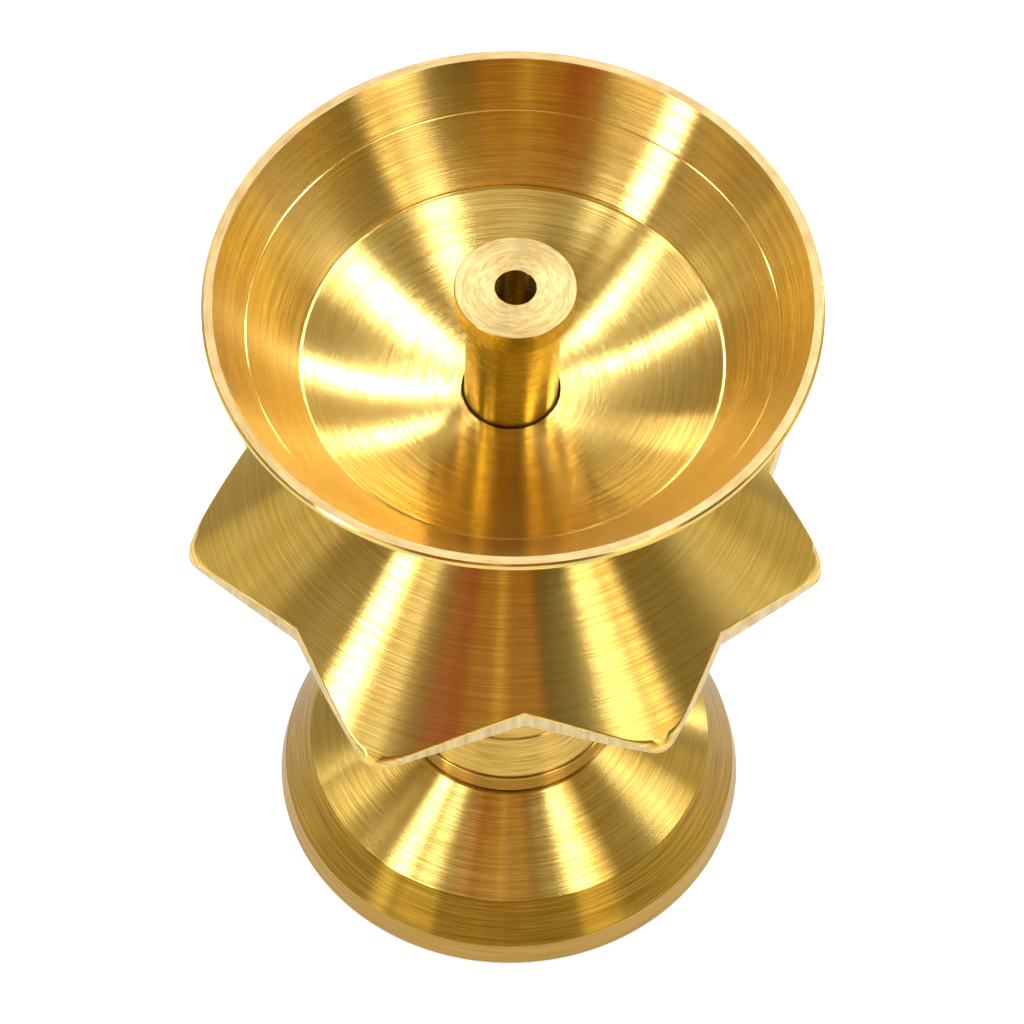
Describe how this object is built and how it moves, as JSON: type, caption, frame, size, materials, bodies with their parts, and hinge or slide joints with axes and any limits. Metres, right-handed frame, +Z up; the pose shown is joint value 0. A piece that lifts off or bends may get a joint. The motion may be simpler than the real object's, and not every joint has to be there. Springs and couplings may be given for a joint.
{
  "type": "diya stand",
  "caption": "Turned brass oil lamp stand: an open oil bowl with a lift-out wick holder, over a star-shaped collar on a trumpet stem and a bell foot.",
  "frame": {"origin": "on the axis of the stand, at the level of the surface it stands on", "axes": "+Z up along the axis of foot, stem and bowl; -Y towards the front of the picture, +X to its right"},
  "size_m": [0.0791, 0.078, 0.1116],
  "materials": {
    "turned_brass": "lathe turned and lightly burnished, with fine lines round the axis",
    "drawn_brass": "drawn bar turned to size, with a fine turned face on its cap",
    "zinc_steel": "bright zinc plate"
  },
  "bodies": {
    "stand": {"foot": "turned_brass", "stem": "turned_brass", "star_collar": "turned_brass", "bowl": "turned_brass", "tie_rod": "zinc_steel", "foot_washer": "zinc_steel", "foot_nut": "zinc_steel"},
    "holder": {"wick_holder": "drawn_brass"}
  },
  "joints": [
    {"name": "wick_holder_lift", "type": "slide", "parent": "stand", "child": "holder", "axis": [0.0209, 0, 0.9998], "range_m": [0, 0.03]}
  ]
}
